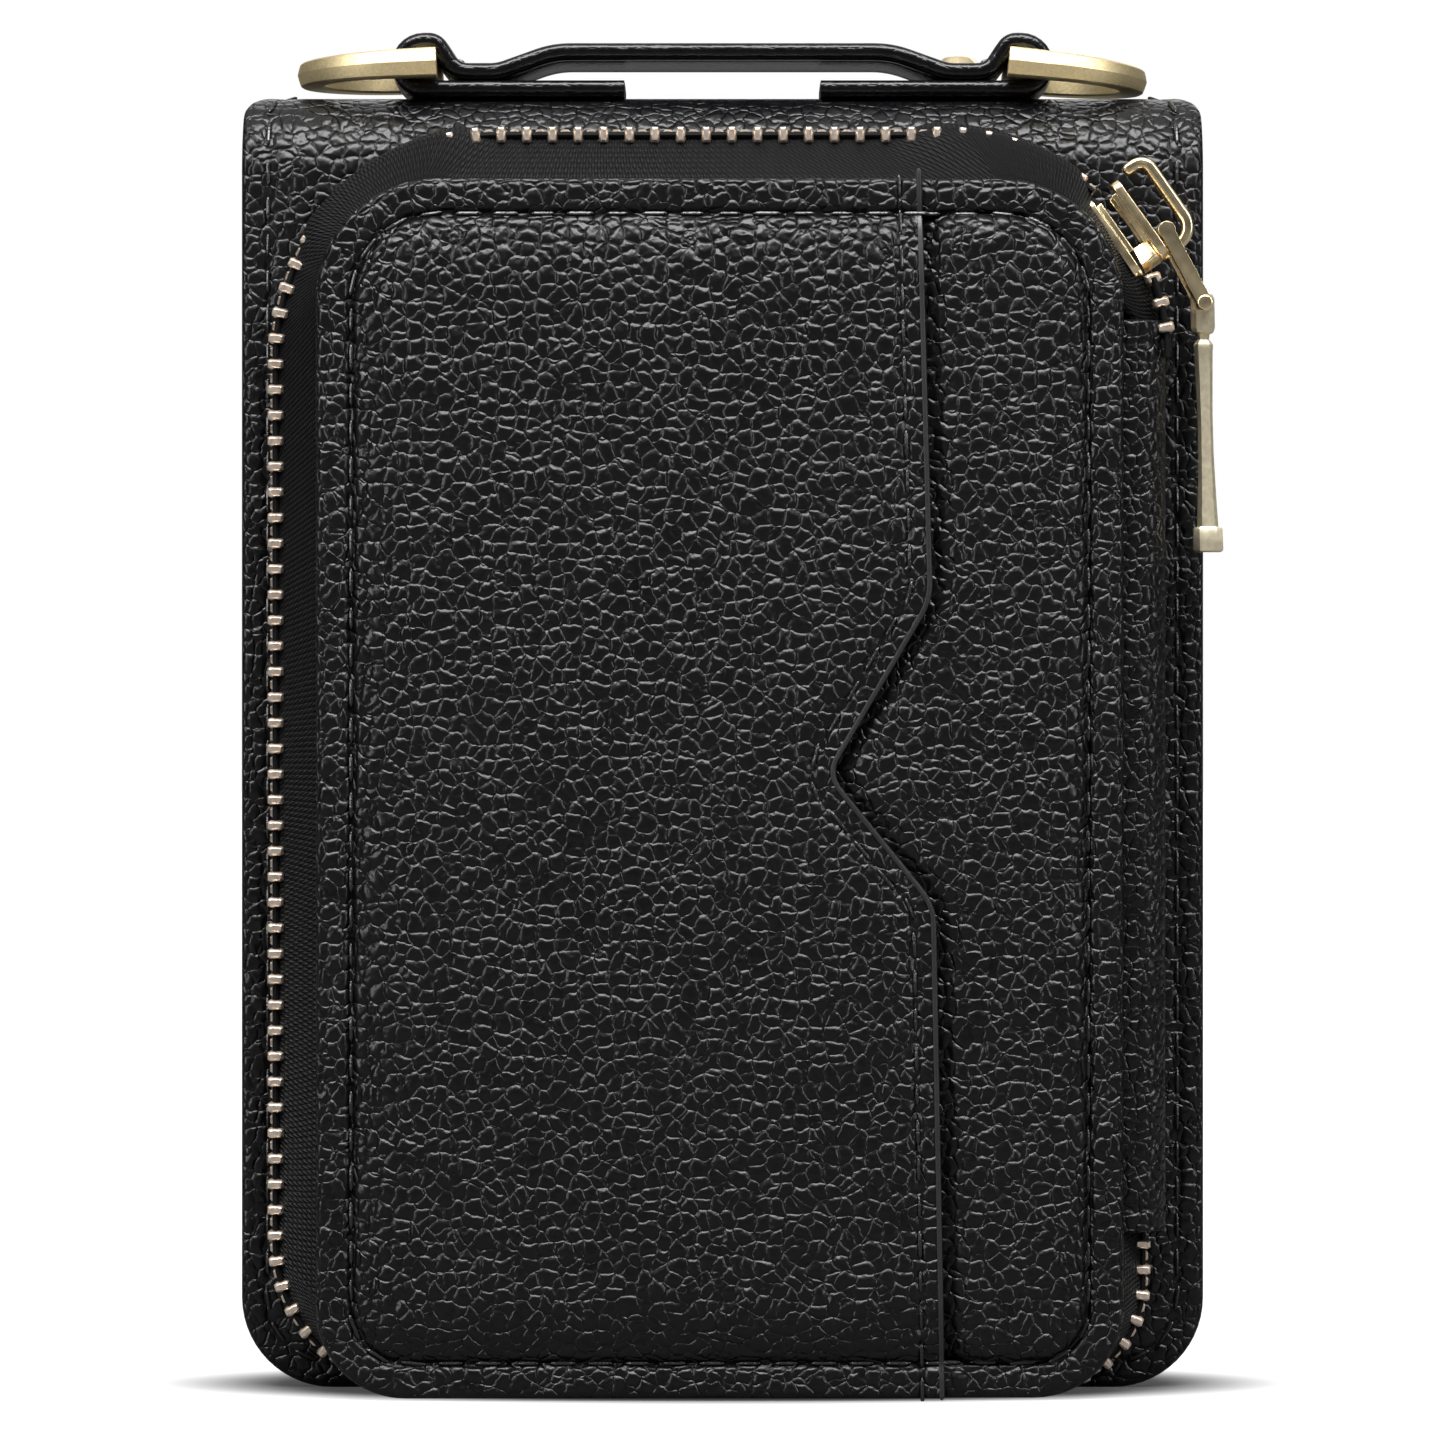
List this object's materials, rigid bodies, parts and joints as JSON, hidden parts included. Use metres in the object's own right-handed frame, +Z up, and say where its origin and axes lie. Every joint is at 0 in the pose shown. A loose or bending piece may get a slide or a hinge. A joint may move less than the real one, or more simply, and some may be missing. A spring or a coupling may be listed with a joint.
{
  "type": "zip around wallet",
  "caption": "Small bifold leather wallet that stands spine up, with a zip-around pocket and card slip on its front cover and a carry strap with D-rings on its spine.",
  "frame": {"origin": "middle of the standing footprint, on the surface the cover edges stand on", "axes": "+Z up towards the spine, +X to the right of the front cover, -Y out of the zip-around pocket's front"},
  "size_m": [0.0971, 0.0384, 0.136],
  "materials": {
    "pebbled_leather": "pebbled, semi-gloss",
    "inner_leather": "smooth, satin",
    "board": "plain",
    "lining_cloth": "woven",
    "zip_tape": "woven herringbone",
    "zip_metal": "polished rose gold",
    "gold": "polished light gold",
    "satin_brass": "satin antique brass"
  },
  "bodies": {
    "front_cover": {"front_cover_leather": "pebbled_leather", "front_cover_board": "board", "front_cover_lining": "lining_cloth", "passport_sleeve": "inner_leather", "pocket_lining": "lining_cloth", "zip_tape_rear": "zip_tape", "zip_tape_corner_rear": "zip_tape", "zip_teeth_rear": "zip_metal", "zip_corner_rear": "zip_metal", "zip_open_end_rear": "zip_metal", "hinge_strip_rear": "pebbled_leather", "zip_bottom_stop": "zip_metal"},
    "spine": {"spine_leather": "pebbled_leather", "spine_board": "board", "spine_lining": "lining_cloth", "handle_strap": "pebbled_leather", "handle_rivet": "gold"},
    "back_cover": {"back_cover_leather": "pebbled_leather", "back_cover_board": "board", "back_cover_lining": "lining_cloth", "card_slot_1": "inner_leather", "card_slot_2": "inner_leather", "card_slot_3": "inner_leather"},
    "pocket_door": {"door_rim": "pebbled_leather", "door_leather": "pebbled_leather", "door_board": "board", "door_lining": "lining_cloth", "card_slip": "pebbled_leather", "zip_tape_front": "zip_tape", "zip_tape_corner_front": "zip_tape", "zip_teeth_front": "zip_metal", "zip_corner_front": "zip_metal", "zip_open_end_front": "zip_metal", "hinge_strip_front": "pebbled_leather"},
    "slider": {"slider_body": "gold", "slider_crown": "gold"},
    "pull_link": {"pull_link": "gold", "pull_pin": "gold"},
    "pull_bar": {"pull_bar": "gold"},
    "d_ring_left": {"d_ring_left": "satin_brass"},
    "d_ring_right": {"d_ring_right": "satin_brass"}
  },
  "joints": [
    {"name": "front_fold", "type": "hinge", "parent": "front_cover", "child": "spine", "pos_m": [0, -0.00485, 0.1295], "axis": [1, 0, 0], "range_deg": [0, 90]},
    {"name": "back_fold", "type": "hinge", "parent": "spine", "child": "back_cover", "pos_m": [0, 0.01915, 0.1295], "axis": [1, 0, 0], "range_deg": [0, 90]},
    {"name": "pocket_door_fold", "type": "hinge", "parent": "front_cover", "child": "pocket_door", "pos_m": [0.0438, -0.012, 0.06], "axis": [0, 0, 1], "range_deg": [0, 90]},
    {"name": "slider_travel", "type": "hinge", "parent": "front_cover", "child": "slider", "pos_m": [0.0219, -0.012, 0.1025], "axis": [0, -1, 0], "range_deg": [0, 45], "deforming": ["zip_tape_corner_rear", "zip_corner_rear", "zip_open_end_rear", "zip_tape_corner_front", "zip_corner_front", "zip_open_end_front"]},
    {"name": "pull_link_swing", "type": "hinge", "parent": "slider", "child": "pull_link", "pos_m": [0.0438, -0.012, 0.11506], "axis": [0, -1, 0], "range_deg": [0, 45]},
    {"name": "pull_bar_swing", "type": "hinge", "parent": "pull_link", "child": "pull_bar", "pos_m": [0.04757, -0.012, 0.1079], "axis": [0, -1, 0], "range_deg": [0, 90]},
    {"name": "left_ring_swing", "type": "hinge", "parent": "spine", "child": "d_ring_left", "pos_m": [-0.0301, 0.00715, 0.13275], "axis": [0, 1, 0], "range_deg": [0, 110]},
    {"name": "right_ring_swing", "type": "hinge", "parent": "spine", "child": "d_ring_right", "pos_m": [0.0301, 0.00715, 0.13275], "axis": [0, -1, 0], "range_deg": [0, 110]}
  ]
}
